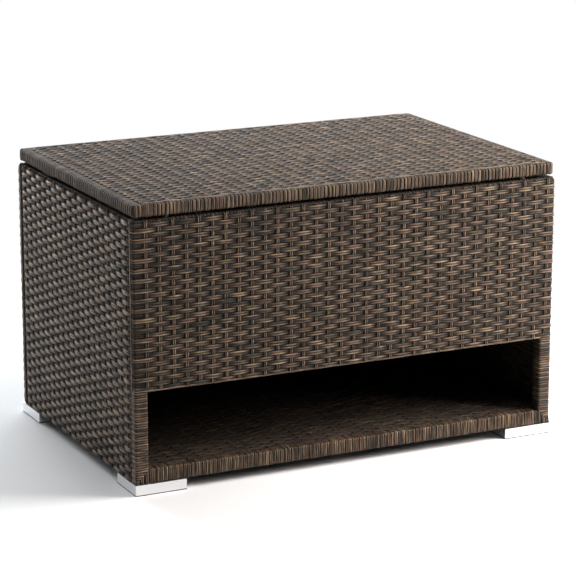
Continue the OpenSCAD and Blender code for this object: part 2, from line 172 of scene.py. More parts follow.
class Strands:
    """Collects strands, and makes one mesh of them all."""

    def __init__(self):
        self.points = []
        self.marks = []
        self.painted_shade = []
        self.quads = []
        self.caps = []
        self.count = 0

    def add(self, centre, out, width=STRAND_W, thick=STRAND_T, roll=0.0, depth=0.0, lip=0.0,
            profile=RIDGED, drift=None):
        """Adds strands that follow centre, an array of strands x sections x 3.

        out points away from the table's face, and roll turns a section about the strand's line.
        depth, from 0 to 1, is painted shade: it says how far a section dips behind the others, and
        only darkens its colour.
        lip is how far a section's edges curl back towards its neighbours. With a drift they are
        turns of one long strand, whose tone changes by that much from turn to turn; otherwise
        each has a tone of its own.
        """
        strands, sections = centre.shape[:2]
        shape = (strands, sections)
        out = np.broadcast_to(out, centre.shape)
        along = unit(np.gradient(centre, axis=1))
        up = unit(out - (out * along).sum(-1, keepdims=True) * along)
        side = np.cross(up, along)
        turn = np.broadcast_to(roll, shape)[..., None]
        cosine, sine = np.cos(turn), np.sin(turn)
        up, side = up * cosine + side * sine, side * cosine - up * sine

        across = np.array([p[0] for p in profile])
        height = np.array([p[1] for p in profile])
        shade = np.array([p[2] for p in profile])
        half = np.broadcast_to(width, shape)[..., None] / 2
        curl = np.broadcast_to(lip, shape)[..., None] * (np.abs(across) == 1.0)
        points = (
            centre[:, :, None, :]
            + side[:, :, None, :] * (half * across)[..., None]
            + up[:, :, None, :] * (thick * height - curl)[..., None]
        )

        steps = np.linalg.norm(np.diff(centre, axis=1), axis=-1)
        length = np.concatenate([np.zeros((strands, 1)), np.cumsum(steps, axis=1)], axis=1)
        sides = len(profile)
        marks = np.zeros(points.shape)
        marks[..., 0] = length[..., None]
        marks[..., 1] = across
        own = rng.random(strands) if drift is None else rng.random() + drift * np.arange(strands)
        marks[..., 2] = own[:, None, None]
        section_shade = np.broadcast_to(depth, shape)[..., None]
        # Painted shade at each point: the section's own plus the profile's, which darkens the
        # strand's colour.
        painted_shade = np.clip(section_shade + shade * (1 - 0.5 * section_shade), 0, 1)

        index = np.arange(strands * sections * sides).reshape(strands, sections, sides)
        index = index + self.count
        following = np.roll(index, -1, axis=2)
        quads = np.stack(
            [index[:, :-1], index[:, 1:], following[:, 1:], following[:, :-1]], axis=-1)
        self.points.append(points.reshape(-1, 3))
        self.marks.append(marks.reshape(-1, 3))
        self.painted_shade.append(painted_shade.reshape(-1))
        self.quads.append(quads.reshape(-1, 4))
        self.caps.append(index[:, 0])
        self.caps.append(index[:, -1, ::-1])
        self.count += index.size

    def build(self, name, body, material, replaced=()):
        """Makes the mesh object, which rides on body and stands for the replaced CAD nodes."""
        points = np.concatenate(self.points)
        quads = np.concatenate(self.quads)
        corners = [quads.reshape(-1)]
        sizes = [np.full(len(quads), 4)]
        for cap in self.caps:
            corners.append(cap.reshape(-1))
            sizes.append(np.full(len(cap), cap.shape[1]))
        corners = np.concatenate(corners)
        sizes = np.concatenate(sizes)
        starts = np.concatenate([[0], np.cumsum(sizes)[:-1]])

        mesh = bpy.data.meshes.new(name)
        mesh.vertices.add(len(points))
        mesh.vertices.foreach_set("co", points.astype(np.float32).ravel())
        mesh.loops.add(len(corners))
        mesh.loops.foreach_set("vertex_index", corners.astype(np.int32))
        mesh.polygons.add(len(sizes))
        mesh.polygons.foreach_set("loop_start", starts.astype(np.int32))
        mesh.update(calc_edges=True)
        mesh.shade_smooth()
        marks = mesh.attributes.new("strand", "FLOAT_VECTOR", "POINT")
        marks.data.foreach_set("vector", np.concatenate(self.marks).astype(np.float32).ravel())
        # The painted shade goes on the mesh, for the strand material to darken the colour by.
        painted_shade = mesh.attributes.new("painted_shade", "FLOAT", "POINT")
        painted_shade.data.foreach_set("value", np.concatenate(self.painted_shade).astype(np.float32))
        mesh.materials.append(material)

        piece = bpy.data.objects.new(name, mesh)
        bpy.context.scene.collection.objects.link(piece)
        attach(piece, body)
        if replaced:
            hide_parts(*replaced)


def wander(rows, at, size, wave):
    """A slow, smooth drift of about the given size for each row, along the positions at."""
    phase = rng.random((rows, 3, 1)) * 2 * math.pi
    waves = wave * np.array([1.0, 0.61, 0.37])[None, :, None]
    parts = np.sin(2 * math.pi * at[None, None, :] / waves + phase)
    return (parts * np.array([0.6, 0.35, 0.2])[None, :, None]).sum(axis=1) * size


def swing(turns):
    """The wave of a strand over and under the others, from -1 to 1: half a wave per crossing."""
    return (np.cos(math.pi * turns) + 0.06 * np.cos(3 * math.pi * turns)) / 1.06


def lip_for(rise):
    """How far a strand's edges curl back where it rises, to meet the sunken ones beside it."""
    return np.maximum(0, 2 * rise + 0.3 * MM)


def spaced(first, last, pitch):
    """Positions from first to last at the whole number of steps nearest to the pitch."""
    return np.linspace(first, last, max(1, round((last - first) / pitch)) + 1)


# ---- Materials ----

def new_material(name):
    """A material with its node tree and its surface shader."""
    material = bpy.data.materials.new(name)
    material.use_nodes = True
    return material, material.node_tree, material.node_tree.nodes["Principled BSDF"]


def add_node(tree, kind, **settings):
    """A node of that kind with its settings."""
    node = tree.nodes.new(kind)
    for key, value in settings.items():
        setattr(node, key, value)
    return node


def feed(tree, socket, value):
    """Links a socket to another socket, or sets it to a number or a colour."""
    if isinstance(value, (int, float, tuple)):
        socket.default_value = value
    else:
        tree.links.new(value, socket)


def maths(tree, operation, a, b):
    """A Math node's output; a and b are sockets or numbers."""
    node = add_node(tree, "ShaderNodeMath", operation=operation)
    feed(tree, node.inputs[0], a)
    feed(tree, node.inputs[1], b)
    return node.outputs[0]


def scaled(tree, value, factor, offset):
    """value times factor, plus offset."""
    output = maths(tree, "MULTIPLY_ADD", value, factor)
    output.node.inputs[2].default_value = offset
    return output


def noise(tree, vector, scale, detail, roughness):
    """A noise texture's value at the vector."""
    node = add_node(tree, "ShaderNodeTexNoise")
    node.inputs["Scale"].default_value = scale
    node.inputs["Detail"].default_value = detail
    node.inputs["Roughness"].default_value = roughness
    tree.links.new(vector, node.inputs["Vector"])
    return node.outputs["Fac"]


def ramp(tree, value, stops):
    """A colour ramp: stops are (position, colour) pairs."""
    node = add_node(tree, "ShaderNodeValToRGB")
    elements = node.color_ramp.elements
    while len(elements) < len(stops):
        elements.new(0.5)
    for element, (position, colour) in zip(elements, stops):
        element.position = position
        element.color = (*colour, 1.0)
    tree.links.new(value, node.inputs["Fac"])
    return node.outputs["Color"]


def vector_of(tree, x, y, z):
    """A vector made of three values."""
    node = add_node(tree, "ShaderNodeCombineXYZ")
    for socket, value in zip(node.inputs, (x, y, z)):
        tree.links.new(value, socket)
    return node.outputs[0]


def blend_colours(tree, mode, factor, a, b):
    """Two colours mixed; factor, a and b are sockets or constants."""
    node = add_node(tree, "ShaderNodeMix", data_type="RGBA", blend_type=mode)
    for index, value in ((0, factor), (6, a), (7, b)):
        feed(tree, node.inputs[index], value)
    return node.outputs[2]


def strand_noise(tree, place, stretch, roughness):
    """Noise drawn out along a strand: place is along, across and the strand's own number.

    stretch is how fast it changes along and across.
    """
    along, across, own = place
    at = vector_of(
        tree, maths(tree, "MULTIPLY", along, stretch[0]),
        maths(tree, "MULTIPLY", across, stretch[1]), own)
    return noise(tree, at, 1.0, 2.0, roughness)


def add_bump(tree, shader, height, strength, distance):
    """Small relief on the surface, where height is a socket."""
    bump = add_node(tree, "ShaderNodeBump")
    bump.inputs["Strength"].default_value = strength
    bump.inputs["Distance"].default_value = distance
    tree.links.new(height, bump.inputs["Height"])
    tree.links.new(bump.outputs["Normal"], shader.inputs["Normal"])


def wicker_material(name):
    """Extruded resin strand: each has its own tone, with streaks and fine lines along it."""
    material, tree, shader = new_material(name)
    marks = add_node(tree, "ShaderNodeAttribute", attribute_name="strand")
    parts = add_node(tree, "ShaderNodeSeparateXYZ")
    tree.links.new(marks.outputs["Vector"], parts.inputs[0])
    along, across, own = parts.outputs
    # Painted shade, set on the mesh, darkens the colour below and also roughens the surface.
    painted_shade = add_node(tree, "ShaderNodeAttribute", attribute_name="painted_shade").outputs["Fac"]

    own_far = maths(tree, "MULTIPLY", own, 370.0)
    elsewhere = maths(tree, "ADD", own_far, 51.0)
    hue = strand_noise(tree, (along, across, own_far), (19.0, 0.8), 0.5)
    tone = strand_noise(tree, (along, across, elsewhere), (31.0, 1.2), 0.6)
    lines = strand_noise(tree, (along, across, own_far), (60.0, 9.0), 0.7)

    colour = ramp(tree, hue, (
        (0.32, (0.028, 0.031, 0.020)),
        (0.41, (0.074, 0.045, 0.027)),
        (0.46, (0.165, 0.105, 0.064)),
        (0.51, (0.190, 0.111, 0.083)),
        (0.56, (0.118, 0.095, 0.058)),
        (0.66, (0.275, 0.186, 0.110)),
    ))
    gain = maths(tree, "MAXIMUM", scaled(tree, tone, 5.2, -1.4), 0.25)
    fine = scaled(tree, lines, 0.5, 0.75)
    # Painted shade: the colour darkened by up to nine tenths where the strand sits deep in the
    # weave.
    dark = scaled(tree, painted_shade, -0.9, 1.0)
    level = maths(tree, "MULTIPLY", maths(tree, "MULTIPLY", gain, fine), dark)
    grey = vector_of(tree, level, level, level)
    colour = blend_colours(tree, "MULTIPLY", 1.0, colour, grey)
    tree.links.new(colour, shader.inputs["Base Color"])

    rough = maths(tree, "ADD", scaled(tree, lines, 0.2, 0.26), scaled(tree, painted_shade, 0.4, 0.0))
    tree.links.new(rough, shader.inputs["Roughness"])
    shader.inputs["Specular IOR Level"].default_value = 0.31
    add_bump(tree, shader, lines, 0.35, 0.0003)
    return material


def solid_material(name, stops, stretch, scale, roughness, metallic=0.0):
    """A metal, paint or plastic: noise, stretched along one way, varies its colour and roughness.

    roughness is the lowest and the highest value.
    """
    material, tree, shader = new_material(name)
    place = add_node(tree, "ShaderNodeTexCoord").outputs["Object"]
    mapping = add_node(tree, "ShaderNodeMapping")
    mapping.inputs["Scale"].default_value = stretch
    tree.links.new(place, mapping.inputs["Vector"])
    grain = noise(tree, mapping.outputs[0], scale, 4.0, 0.6)
    cloud = noise(tree, place, 14.0, 2.0, 0.5)
    mixed = maths(
        tree, "ADD", maths(tree, "MULTIPLY", grain, 0.7), maths(tree, "MULTIPLY", cloud, 0.3))
    tree.links.new(ramp(tree, mixed, stops), shader.inputs["Base Color"])
    low, high = roughness
    tree.links.new(scaled(tree, grain, high - low, low), shader.inputs["Roughness"])
    shader.inputs["Metallic"].default_value = metallic
    add_bump(tree, shader, grain, 0.3, 0.0001)
    return material


wicker = wicker_material("woven_strand")
wicker_wrap = wicker_material("wound_strand")
aluminium = solid_material(
    "brushed_aluminium", ((0.3, (0.80, 0.81, 0.82)), (0.7, (0.93, 0.93, 0.94))),
    (1.0, 1.0, 60.0), 30.0, (0.28, 0.42), metallic=1.0)
powder_coat = solid_material(
    "powder_coat", ((0.3, (0.030, 0.021, 0.016)), (0.7, (0.052, 0.037, 0.028))),
    (1.0, 1.0, 1.0), 900.0, (0.45, 0.6))
zinc = solid_material(
    "zinc_plate", ((0.3, (0.46, 0.47, 0.48)), (0.7, (0.62, 0.63, 0.62))),
    (1.0, 1.0, 6.0), 160.0, (0.25, 0.45), metallic=1.0)
black_plastic = solid_material(
    "black_plastic", ((0.3, (0.012, 0.012, 0.013)), (0.7, (0.022, 0.022, 0.023))),
    (1.0, 1.0, 1.0), 700.0, (0.45, 0.6))
rubber = solid_material(
    "black_rubber", ((0.3, (0.010, 0.010, 0.010)), (0.7, (0.020, 0.020, 0.020))),
    (1.0, 1.0, 1.0), 500.0, (0.7, 0.85))


# ---- The woven body ----

def plan_of_wrap(s, y_sign):
    """Where a row that wraps round the corners is in plan, and which way it faces there.

    s is the distance along the row from the middle of the panel, past the corners onto the sides.
    """
    flat = FACE_X - MID_DEPTH - CORNER_R
    reach = np.abs(s)
    angle = np.clip((reach - flat) / CORNER_R, 0, math.pi / 2)
    past = np.maximum(reach - flat - CORNER_R * math.pi / 2, 0)
    x = np.sign(s) * (np.minimum(reach, flat) + CORNER_R * np.sin(angle))
    y = y_sign * (FACE_Y - MID_DEPTH - CORNER_R + CORNER_R * np.cos(angle) - past)
    facing = np.stack(
        [np.sign(s) * np.sin(angle), y_sign * np.cos(angle), np.zeros(len(s))], axis=-1)
    return np.stack([x, y], axis=-1), facing


def wrap_ends():
    """How far along a row its corner arc starts, ends, and where its tail ends on the side."""
    start = FACE_X - MID_DEPTH - CORNER_R
    end = start + CORNER_R * math.pi / 2
    return start, end, end + TAIL - MID_DEPTH - CORNER_R


def row_heights(first, last):
    """The heights of the rows first to last, counted from the bottom of the body."""
    return foot_top + (np.arange(first, last + 1) + 0.5) * ROW_PITCH


def row_painted_shade(wave):
    """The painted shade on a row where its wave is at a height: darker the deeper in the weave it
    sits.
    """
    return np.clip(0.5 - 0.8 * wave, 0, 1)


def crossings(stakes):
    """Turns along a row, four for each crossing, and where among the stakes each of them lies."""
    last = len(stakes) - 1
    turns = np.linspace(0, last, last * 4 + 1)
    return turns, np.interp(turns, np.arange(last + 1), stakes)


def past_ends(stakes, end_turns, margin):
    """The same for a row that goes on past the outer stakes, as far as the margin."""
    turns, places = crossings(stakes)
    beyond = np.interp(end_turns, [0, end_turns[-1]], [0, margin])
    turns = np.concatenate([-end_turns[::-1], turns, len(stakes) - 1 + end_turns])
    return turns, np.concatenate([stakes[0] - beyond[::-1], places, stakes[-1] + beyond])


def build_stakes(name, body, lines, out, thick, wave, replaced, overall_shade=0.0):
    """A panel's stakes: lines is their centre lines and the positions along them."""
    centre, at = lines
    stakes = Strands()
    # The last value is painted shade: the stakes darkened where they go deep in the weave, and all
    # over by the panel's painted shade.
    stakes.add(centre, out, STAKE_W, thick, wander(len(centre), at, 0.05, STAKE_ROLL_WAVE),
               overall_shade + (1 - overall_shade) * (0.35 - 0.35 * wave))
    stakes.build(name, body, wicker, (replaced,))


def broad_face(name_start, y_sign, first_row, low_z, fit, replaced):
    """The front or the rear panel: rows that wrap round the corners, and its stakes.

    fit is the rows' width and their drift.
    """
    width, drift = fit
    left_margin, right_margin = BROAD_MARGINS
    stakes = np.linspace(-FACE_X + left_margin, FACE_X - right_margin, BROAD_STAKES)
    stakes[1:-1] += rng.normal(0, STAKE_SCATTER, BROAD_STAKES - 2)
    arc_start, arc_end, tail_end = wrap_ends()
    arc = np.linspace(arc_start, arc_end, 5)
    tail = np.linspace(arc_end, tail_end, 5)[1:]
    outer = np.concatenate([arc, tail])
    inner_turns, inner = crossings(stakes)
    s = np.concatenate([-outer[::-1], inner, outer])
    outer_turns = np.interp(outer, [arc_start, tail_end], [0.28, 0.5])
    turns = np.concatenate([-outer_turns[::-1], inner_turns, len(stakes) - 1 + outer_turns])
    plan, facing = plan_of_wrap(s, y_sign)

    rows = np.arange(first_row, ROWS)
    calm = np.interp(np.abs(s), [arc_start - 8 * MM, arc_start, tail_end], [1.0, 0.75, 0.35])
    sunk = np.interp(np.abs(s), [arc_end, tail_end], [0.0, 0.5 * MM])
    wave = swing(turns[None, :] + rows[:, None] + 1)
    rise = ROW_SWING * wave * calm
    z = row_heights(first_row, ROWS - 1)[:, None] + wander(len(rows), s, drift, ROW_WAVE)
    centre = np.zeros((len(rows), len(s), 3))
    centre[..., :2] = plan[None] + facing[None, :, :2] * (rise - sunk)[..., None]
    centre[..., 2] = z
    roll = wander(len(rows), s, 0.10, ROLL_WAVE) + np.where(wave > 0, 0.05, 0.0)
    weavers = Strands()
    # depth is painted shade: the rows darkened where they go deep in the weave.
    weavers.add(centre, facing[None], width * (1 + wander(len(rows), s, 0.03, WIDTH_WAVE)),
                roll=roll, depth=row_painted_shade(wave), lip=lip_for(rise))
    weavers.build(name_start + "_rows", "table", wicker, (replaced,))

    count = len(stakes)
    z = spaced(low_z, FRAME_TOP, ROW_PITCH / 4)
    level = (z - foot_top) / ROW_PITCH - 0.5
    wave = swing(level[None, :] + np.arange(count)[:, None])
    centre = np.zeros((count, len(z), 3))
    centre[..., 0] = stakes[:, None] + wander(count, z, STAKE_DRIFT, STAKE_WAVE)
    centre[..., 1] = y_sign * (FACE_Y - MID_DEPTH + STAKE_SWING * wave)
    centre[..., 2] = z
    build_stakes(name_start + "_stakes", "table", (centre, z), np.array([0.0, y_sign, 0.0]),
                 STAKE_T, wave, replaced)


def narrow_face(name_start, x_sign, replaced):
    """The left or the right panel, between the tails of the front and the rear rows."""
    reach = FACE_Y - GROOVE_AT
    stakes = np.linspace(-reach + NARROW_MARGIN, reach - NARROW_MARGIN, NARROW_STAKES)
    stakes[1:-1] += rng.normal(0, STAKE_SCATTER, NARROW_STAKES - 2)
    turns, y = past_ends(stakes, np.array([0.14, 0.28, 0.42, 0.58]), NARROW_MARGIN)
    rows = np.arange(ROWS)
    wave = swing(turns[None, :] + rows[:, None])
    sunk = np.interp(np.abs(y), [reach - 6 * MM, reach], [0.0, 0.8 * MM])
    centre = np.zeros((ROWS, len(y), 3))
    centre[..., 0] = x_sign * (FACE_X - MID_DEPTH + SIDE_SWING * wave - sunk)
    centre[..., 1] = y
    centre[..., 2] = row_heights(0, ROWS - 1)[:, None] + wander(ROWS, y, CLOSE_DRIFT, ROW_WAVE)
    out = np.array([x_sign, 0.0, 0.0])
    raised = np.maximum(wave, 0)
    weavers = Strands()
    # depth is painted shade: the rows darkened where they go deep in the weave.
    weavers.add(centre, out, CLOSE_W * (1 + wander(ROWS, y, 0.02, WIDTH_WAVE)),
                roll=wander(ROWS, y, 0.05, ROLL_WAVE) + 0.10 * x_sign * raised,
                depth=row_painted_shade(wave), lip=lip_for(SIDE_SWING * wave) + 0.3 * MM * raised,
                profile=SMOOTH)
    weavers.build(name_start + "_rows", "table", wicker, (replaced,))

    count = len(stakes)
    z = spaced(foot_top + 1 * MM, FRAME_TOP, ROW_PITCH / 4)
    level = (z - foot_top) / ROW_PITCH - 0.5
    wave = -swing(level[None, :] + np.arange(count)[:, None])
    centre = np.zeros((count, len(z), 3))
    centre[..., 0] = x_sign * (FACE_X - MID_DEPTH + STAKE_SWING * wave)
    centre[..., 1] = stakes[:, None] + wander(count, z, STAKE_DRIFT, STAKE_WAVE)
    centre[..., 2] = z
    build_stakes(name_start + "_stakes", "table", (centre, z), out, STAKE_T, wave, replaced)


def flat_panel(name_start, body, low, high, thick, swings, replaced, overall_shade=0.0):
    """A level woven panel that fills the box low to high: rows along X, stakes along Y.

    swings is how far its rows and its stakes swing; the last argument, from 0 to 1, is painted
    shade that darkens it all over.
    """
    row_swing, stake_swing = swings
    middle_z = high.z - row_swing - RIDGE_HEIGHT * thick
    stakes = spaced(low.x + LEVEL_MARGIN, high.x - LEVEL_MARGIN, STAKE_PITCH)
    turns, x = past_ends(stakes, np.array([0.24, 0.45]), LEVEL_MARGIN)
    y_rows = spaced(low.y + ROW_PITCH / 2, high.y - ROW_PITCH / 2, ROW_PITCH)
    count = len(y_rows)
    wave = swing(turns[None, :] + np.arange(count)[:, None])
    centre = np.zeros((count, len(x), 3))
    centre[..., 0] = x
    centre[..., 1] = y_rows[:, None] + wander(count, x, CLOSE_DRIFT, ROW_WAVE)
    centre[..., 2] = middle_z + row_swing * wave
    up = np.array([0.0, 0.0, 1.0])
    weavers = Strands()
    # depth is painted shade: the rows darkened where they go deep in the weave, and the whole panel
    # by the last argument.
    weavers.add(centre, up, CLOSE_W * (1 + wander(count, x, 0.02, WIDTH_WAVE)), thick,
                roll=wander(count, x, 0.07, ROLL_WAVE),
                depth=overall_shade + (1 - overall_shade) * row_painted_shade(wave), lip=lip_for(row_swing * wave))
    weavers.build(name_start + "_rows", body, wicker, (replaced,))

    y = spaced(low.y, high.y, ROW_PITCH / 4)
    level = np.interp(y, y_rows, np.arange(count))
    count = len(stakes)
    wave = -swing(level[None, :] + np.arange(count)[:, None])
    centre = np.zeros((count, len(y), 3))
    centre[..., 0] = stakes[:, None] + wander(count, y, STAKE_DRIFT, STAKE_WAVE)
    centre[..., 1] = y
    centre[..., 2] = middle_z + stake_swing * wave
    build_stakes(name_start + "_stakes", body, (centre, y), up, thick, wave, replaced, overall_shade)


def turned(points, radius, arc_sections):
    """A polyline with its corners rounded, all but its ends, as an array of points x 2."""
    points = np.array(points, float)
    path = [points[0]]
    for before, corner, after in zip(points[:-2], points[1:-1], points[2:]):
        way_in = unit(before - corner)
        way_out = unit(after - corner)
        shorter = min(np.linalg.norm(before - corner), np.linalg.norm(after - corner))
        cut = min(radius, 0.45 * shorter)
        for t in np.linspace(0, 1, arc_sections + 1):
            path.append(corner + way_in * cut * (1 - t) ** 2 + way_out * cut * t ** 2)
    path.append(points[-1])
    return np.array(path)


def outward(path, inside):
    """Unit vectors across a path of points x 2 that point away from the point inside."""
    along = unit(np.gradient(path, axis=0))
    across = np.stack([along[:, 1], -along[:, 0]], axis=-1)
    away = ((path - np.array(inside)) * across).sum(-1, keepdims=True)
    return across * np.where(away < 0, -1.0, 1.0)


# Round a front post, in plan: where the wrapping starts on the side, its corner, and the middle.
POST_FACE_Y = -(FACE_Y - MID_DEPTH)
POST_START = (FACE_X - MID_DEPTH, -(FACE_Y - TAIL))
POST_CORNER = (FACE_X - MID_DEPTH, POST_FACE_Y)
POST_MIDDLE = (FACE_X - 14 * MM, -(FACE_Y - 12 * MM))
MITRE_ROWS = 3  # the rows that the bottom rail's wrapping is as high as


def post_strands(name, x_sign, replaced):
    """Strands wound round a front post beside the bay: over its side, front and inner face."""
    inside_x = INNER_X - 0.9 * MM
    route = [POST_START, POST_CORNER, (inside_x, POST_FACE_Y), (inside_x, -INNER_Y)]
    path = turned(route, CORNER_R, 4)
    facing = outward(path, POST_MIDDLE)
    strands = Strands()
    rows = row_heights(MITRE_ROWS, round((PANEL_Z - foot_top) / ROW_PITCH) - 1)
    swell = rng.normal(0, 0.12 * MM, (len(rows), 1))
    centre = np.zeros((len(rows), len(path), 3))
    centre[..., :2] = path[None] + facing[None] * (swell[..., None] - 0.2 * MM)
    centre[..., 2] = rows[:, None] + wander(len(rows), path[:, 0], 0.15 * MM, 0.05)
    centre[..., 0] *= x_sign
    out = np.zeros((len(path), 3))
    out[:, 0] = facing[:, 0] * x_sign
    out[:, 1] = facing[:, 1]
    # Painted shade, growing towards the inner face, which lies in the bay's shadow.
    sunk = np.interp(path[:, 1], [POST_FACE_Y + 2 * MM, POST_FACE_Y + 8 * MM], [0.0, 0.5])
    strands.add(centre, out[None], roll=rng.normal(0, 0.03, (len(rows), 1)), depth=sunk,
                drift=TURN_DRIFT)
    mitre_strands(strands, x_sign)
    strands.build(name, "table", wicker_wrap, (replaced,))


def mitre_strands(strands, x_sign):
    """The bottom corner's nested turns: each comes round level, then turns straight down."""
    for level in row_heights(0, MITRE_ROWS - 1):
        rise = level - foot_top
        down_x = FACE_X - rise
        plan = turned([POST_START, POST_CORNER, (down_x, POST_FACE_Y)], CORNER_R, 4)
        count = len(plan) + 2
        centre = np.zeros((1, count, 3))
        centre[0, :len(plan), :2] = plan
        centre[0, len(plan):, 0] = down_x
        centre[0, len(plan):, 1] = POST_FACE_Y
        centre[0, :, 2] = level
        centre[0, -2, 2] = foot_top + 0.55 * rise
        centre[0, -1, 2] = foot_top + 0.3 * MM
        facing = outward(plan, POST_MIDDLE)
        out = np.zeros((1, count, 3))
        out[0, :len(plan), :2] = facing
        out[0, len(plan):, 1] = -1.0
        width = np.full((1, count), STRAND_W)
        width[0, len(plan) - 1] = STRAND_W * math.sqrt(2)
        width[0, len(plan):] = WRAP_W
        centre[..., 0] *= x_sign
        out[..., 0] *= x_sign
        strands.add(centre, out, width)


def rail_strands():
    """Strands wound side by side round the front bottom rail, up to the two mitres."""
    face = -(rail_low.y + 0.85 * MM)
    top = rail_high.z - 0.85 * MM
    under = foot_top + 1.0 * MM
    back = INNER_Y + 1.0 * MM
    route = [
        (-back, under), (-face, under), (-face, top), (-back, top),
        (-back + 1.5 * MM, top - 2.5 * MM),
    ]
    path = turned(route, 2.6 * MM, 3)
    facing = outward(path, (POST_MIDDLE[1], (foot_top + rail_high.z) / 2))
    mitre = MITRE_ROWS * ROW_PITCH
    x = spaced(-FACE_X + mitre + WRAP_PITCH / 2, FACE_X - mitre - WRAP_PITCH / 2, WRAP_PITCH)
    swell = rng.normal(0, 0.12 * MM, (len(x), 1, 1))
    centre = np.zeros((len(x), len(path), 3))
    centre[..., 0] = x[:, None] + wander(len(x), path[:, 1], 0.2 * MM, 0.06)
    centre[..., 1:] = path[None] + facing[None] * swell
    out = np.zeros((len(path), 3))
    out[:, 1:] = facing
    strands = Strands()
    strands.add(centre, out[None], RAIL_W * (1 + rng.normal(0, 0.02, (len(x), 1))),
                roll=rng.normal(0, 0.03, (len(x), 1)), drift=RAIL_DRIFT)
    strands.build(
        "bottom_rail_strands", "table", wicker_wrap, ("bottom_rail_wrap",))


def corner_lashings():
    """The upright strand on each side, over the tails of the rows that wrap round the corners."""
    strands = Strands()
    for x_sign in (-1, 1):
        for y_sign, low_z in ((-1, PANEL_Z), (1, foot_top + 0.5 * MM)):
            z = spaced(low_z, FRAME_TOP, ROW_PITCH / 3)
            level = (z - foot_top) / ROW_PITCH - 0.5
            centre = np.zeros((1, len(z), 3))
            ripple = 0.25 * MM * np.cos(2 * math.pi * level)
            centre[..., 0] = x_sign * (FACE_X - 1.3 * MM + ripple)
            centre[..., 1] = y_sign * (FACE_Y - LASHING_AT) + wander(1, z, 0.3 * MM, 0.11)
            centre[..., 2] = z
            strands.add(centre, np.array([x_sign, 0.0, 0.0]), LASHING_W,
                        roll=wander(1, z, 0.1, 0.05), profile=SMOOTH)
    strands.build("corner_lashings", "table", wicker_wrap)


def panel_hem():
    """The thin strand along the front panel's lower edge."""
    strands = Strands()
    flat = FACE_X - MID_DEPTH - 22 * MM
    x = np.linspace(-flat, flat, 100)
    centre = np.zeros((1, len(x), 3))
    centre[..., 0] = x
    centre[..., 1] = -(FACE_Y - 1.3 * MM) + wander(1, x, 0.15 * MM, 0.05)
    centre[..., 2] = PANEL_Z + 1.1 * MM
    strands.add(centre, np.array([0.0, -1.0, 0.0]), 3.0 * MM, profile=HUMPED)
    strands.build("front_panel_hem", "table", wicker_wrap, ("front_weave",))


def blocked(values, names, axis, margin):
    """Which of the values fall within the CAD nodes' boxes along an axis, widened by a margin."""
    hit = np.zeros(len(values), bool)
    for name in names:
        low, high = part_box(name)
        hit |= (values > low[axis] - margin) & (values < high[axis] + margin)
    return hit


def rim_loops():
    """Strands wound over the body's top rails, left out where the hinge leaves lie."""
    top = FRAME_TOP + 0.65 * MM
    drop = top_rail_low.z - 0.75 * MM
    depth = FACE_Y - INNER_Y + 0.7 * MM
    start = 5.6 * MM
    # Painted shade: the loops are painted dark where they start, in the lid's shadow, and lighter
    # past this span.
    shade_fade = (8 * MM, 13 * MM)
    full = turned([(start, FRAME_TOP - 3 * MM), (start, top), (depth, top), (depth, drop),
                   (depth - 7 * MM, drop)], 2.2 * MM, 3)
    short = turned([(start, FRAME_TOP - 3 * MM), (start, top), (depth - 1 * MM, top)],
                   2.2 * MM, 3)
    hub = (12 * MM, FRAME_TOP - 9 * MM)
    x = spaced(-FACE_X + 7 * MM, FACE_X - 7 * MM, WRAP_PITCH)
    y = spaced(-INNER_Y + 4 * MM, INNER_Y - 4 * MM, WRAP_PITCH)
    strands = Strands()
    between_posts = np.abs(x) < INNER_X - 4 * MM
    for path, wanted in ((full, between_posts), (short, ~between_posts)):
        facing = outward(path, hub)
        for y_sign in (-1, 1):
            places = x[wanted]
            if y_sign > 0:
                leaves = ("left_hinge_body_leaf", "right_hinge_body_leaf")
                places = places[~blocked(places, leaves, 0, 3.6 * MM)]
            centre = np.zeros((len(places), len(path), 3))
            centre[..., 0] = places[:, None]
            centre[..., 1] = y_sign * (FACE_Y - path[:, 0])
            centre[..., 2] = path[:, 1]
            out = np.stack([np.zeros(len(path)), -y_sign * facing[:, 0], facing[:, 1]], axis=-1)
            # Painted shade along each loop, from dark under the lid to lighter inside.
            sunk = np.interp(path[:, 0], shade_fade, (0.95, 0.3))
            strands.add(centre, out[None], WRAP_W, roll=rng.normal(0, 0.06, (len(places), 1)),
                        depth=sunk, profile=HUMPED)
    facing = outward(full, hub)
    # Painted shade along each loop, from dark under the lid to lighter inside.
    sunk = np.interp(full[:, 0], shade_fade, (0.95, 0.3))
    for x_sign in (-1, 1):
        centre = np.zeros((len(y), len(full), 3))
        centre[..., 0] = x_sign * (FACE_X - full[:, 0])
        centre[..., 1] = y[:, None]
        centre[..., 2] = full[:, 1]
        out = np.stack([-x_sign * facing[:, 0], np.zeros(len(full)), facing[:, 1]], axis=-1)
        strands.add(centre, out[None], WRAP_W, roll=rng.normal(0, 0.06, (len(y), 1)), depth=sunk,
                    profile=HUMPED)
    strands.build("rim_loops", "table", wicker_wrap)


BOX_FACES = (
    (3, 2, 1, 0), (4, 5, 6, 7),
    (0, 1, 5, 4), (1, 2, 6, 5), (2, 3, 7, 6), (3, 0, 4, 7),
)


